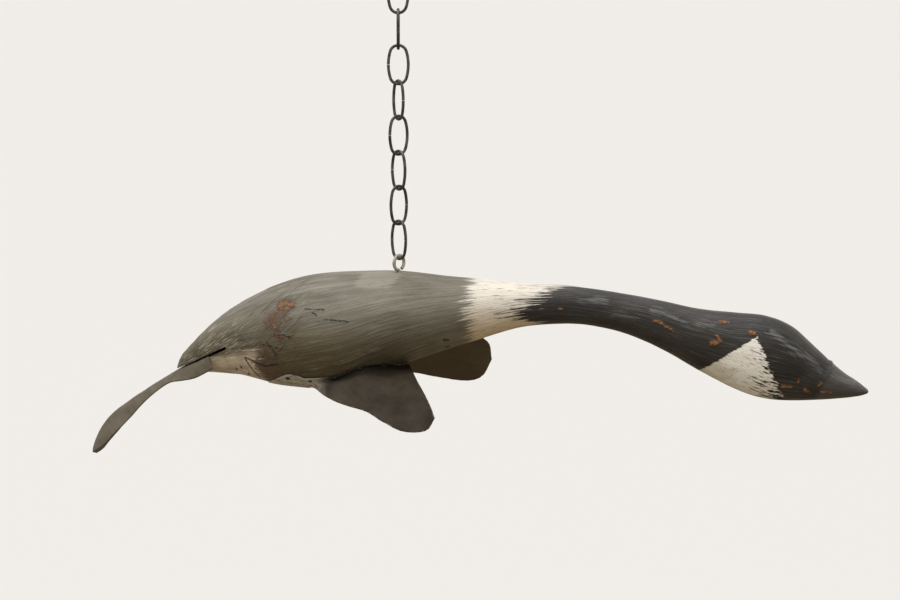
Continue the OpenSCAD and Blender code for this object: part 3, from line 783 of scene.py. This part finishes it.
def hammered(node, name, material, depth, bent_share):
    """A sheet-metal node cut finer and made uneven, as if bent by hand, where `bent_share` is over 0."""
    bm = bmesh.new()
    bm.from_mesh(NODES[node].data)
    bmesh.ops.remove_doubles(bm, verts=bm.verts, dist=1e-6)
    bm.normal_update()
    for e in bm.edges:
        e.smooth = e.calc_face_angle(0) < RIM_ANGLE
    for _ in range(SHEET_ROUNDS):
        long_edges = [e for e in bm.edges if e.calc_length() > SHEET_CELL * MM]
        if not long_edges:
            break
        bmesh.ops.subdivide_edges(bm, edges=long_edges, cuts=1)
        bmesh.ops.triangulate(bm, faces=[f for f in bm.faces if len(f.verts) > 3])
    rim_verts = {v for e in bm.edges if not e.smooth for v in e.verts}
    inner = [v for v in bm.verts if v not in rim_verts]
    for _ in range(SHEET_ROUNDS):
        bmesh.ops.smooth_vert(bm, verts=inner, factor=0.5,
                              use_axis_x=True, use_axis_y=True, use_axis_z=True)
    mesh = bpy.data.meshes.new(name)
    bm.to_mesh(mesh)
    rim = KDTree(len(rim_verts))
    for i, v in enumerate(rim_verts):
        rim.insert(v.co, i)
    rim.balance()
    distance = np.array([rim.find(v.co)[2] for v in bm.verts]) / MM
    bm.free()
    p = bird_points(mesh)
    lift = depth * random_field(p, 24, 51) + 0.35 * depth * random_field(p, 10, 52)
    lift *= bent_share(p)
    put_points(mesh, p + np.outer(lift, (0, 0, 1)))
    add_field(mesh, "rim", 1 - np.clip(distance / RIM_WIDTH, 0, 1))
    add_piece(name, mesh, node, material)
    smooth_by_angle(mesh, SHEET_SHARP)


body_mesh = carve(loft("body_carving", "body", BODY_AROUND, (True, False)), "body")
body = add_piece("body_carving", body_mesh, "body", CARVING_PAINT)
saw_slot(body)
head_mesh = carve(loft("neck_head_carving", "neck_head", HEAD_AROUND, (False, True)), "neck_head")
head = add_piece("neck_head_carving", head_mesh, "neck_head", CARVING_PAINT)
for piece in (body, head):
    smooth_by_angle(piece.data, CARVING_SHARP)

for side in ("right", "left"):
    hammered(f"{side}_wing", f"{side}_wing_sheet", WING_PAINT, 0.9, lambda p: ramp(np.abs(p[:, 1]), 66, 90))
hammered("tail_sheet", "tail_sheet_metal", TAIL_PAINT, 0.8, lambda p: ramp(p[:, 0], -228, -250))


# ---- stage ----

FLOOR_DROP = 1.4            # the floor is this far below the object
FLOOR_RADIUS = 500
FLOOR_COLOUR = (0.655, 0.635, 0.605, 1)
WARM_GROUND = (0.29, 0.235, 0.158, 1)
HORIZON = (0.86, 0.84, 0.81, 1)     # as pale as the floor
LOW_SKY = (0.38, 0.37, 0.36, 1)
OVERHEAD = (1.0, 1.0, 1.0, 1)
SKY_STOPS = ((0.455, HORIZON), (0.56, HORIZON), (0.62, LOW_SKY))
KEY_STRENGTH, KEY_ANGLE = 1.7, math.radians(50)
KEY_FROM = Vector((-0.25, -0.15, 1.0))

bpy.ops.mesh.primitive_circle_add(vertices=96, radius=FLOOR_RADIUS, fill_type="NGON",
                                  location=(0, 0, cad_low.z - FLOOR_DROP))
floor = bpy.context.object
floor.name = "floor"
floor_paint = bpy.data.materials.new("floor_paint")
floor_paint.use_nodes = True
floor_shader = floor_paint.node_tree.nodes["Principled BSDF"]
floor_shader.inputs["Base Color"].default_value = FLOOR_COLOUR
floor_shader.inputs["Roughness"].default_value = 0.95
floor.data.materials.append(floor_paint)
floor.visible_diffuse = False       # its colour isn't thrown back onto the bird
floor.visible_glossy = False

# The world's colour goes by height: 0 straight down, 0.5 at the horizon, 1 straight up
world = bpy.data.worlds.new("studio")
bpy.context.scene.world = world
world.use_nodes = True
tree = world.node_tree
sky = tree.nodes["Background"]
coords = tree.nodes.new("ShaderNodeTexCoord")
split = tree.nodes.new("ShaderNodeSeparateXYZ")
sky_ramp = tree.nodes.new("ShaderNodeValToRGB")
half = tree.nodes.new("ShaderNodeMath")
half.operation = "MULTIPLY_ADD"
half.inputs[1].default_value = 0.5
half.inputs[2].default_value = 0.5
tree.links.new(coords.outputs["Generated"], split.inputs[0])
tree.links.new(split.outputs["Z"], half.inputs[0])
tree.links.new(half.outputs[0], sky_ramp.inputs[0])
tree.links.new(sky_ramp.outputs[0], sky.inputs["Color"])
stops = sky_ramp.color_ramp.elements
stops[0].position, stops[0].color = 0.43, WARM_GROUND
stops[1].position, stops[1].color = 0.92, OVERHEAD
for position, colour in SKY_STOPS:
    stops.new(position).color = colour
sky.inputs["Strength"].default_value = 1.0

sun = bpy.data.lights.new("key", "SUN")
sun.energy, sun.angle = KEY_STRENGTH, KEY_ANGLE
key = add_object("key", sun)
key.rotation_mode = "QUATERNION"
key.rotation_quaternion = (-KEY_FROM).to_track_quat("-Z", "Y")


# ---- camera: the viewpoint is to the bird's right, a little towards its head and slightly above ----

VIEW_AZIMUTH, VIEW_ELEVATION = math.radians(10), math.radians(8.5)
VIEW_DISTANCE = 2.2
VIEW_RIGHT, VIEW_DOWN = 0.04845, 0.0266     # the picture's middle, from the back under the screw eye
FIELD_WIDTH = 0.855         # metres across the picture at that distance
SENSOR_WIDTH = 36
back = Vector((math.sin(VIEW_AZIMUTH) * math.cos(VIEW_ELEVATION),
               -math.cos(VIEW_AZIMUTH) * math.cos(VIEW_ELEVATION), math.sin(VIEW_ELEVATION)))
right = Vector((math.cos(VIEW_AZIMUTH), math.sin(VIEW_AZIMUTH), 0))
up = back.cross(right)
camera_data = bpy.data.cameras.new("camera")
camera_data.sensor_width = SENSOR_WIDTH
camera_data.lens = SENSOR_WIDTH * VIEW_DISTANCE / FIELD_WIDTH
camera_data.clip_end = 2000
camera = add_object("camera", camera_data)
place = BACK + back * VIEW_DISTANCE + right * VIEW_RIGHT - up * VIEW_DOWN
camera.matrix_world = Matrix.Translation(place) @ Matrix((right, up, back)).transposed().to_4x4()
bpy.context.scene.camera = camera
bpy.context.scene.view_settings.view_transform = "Standard"
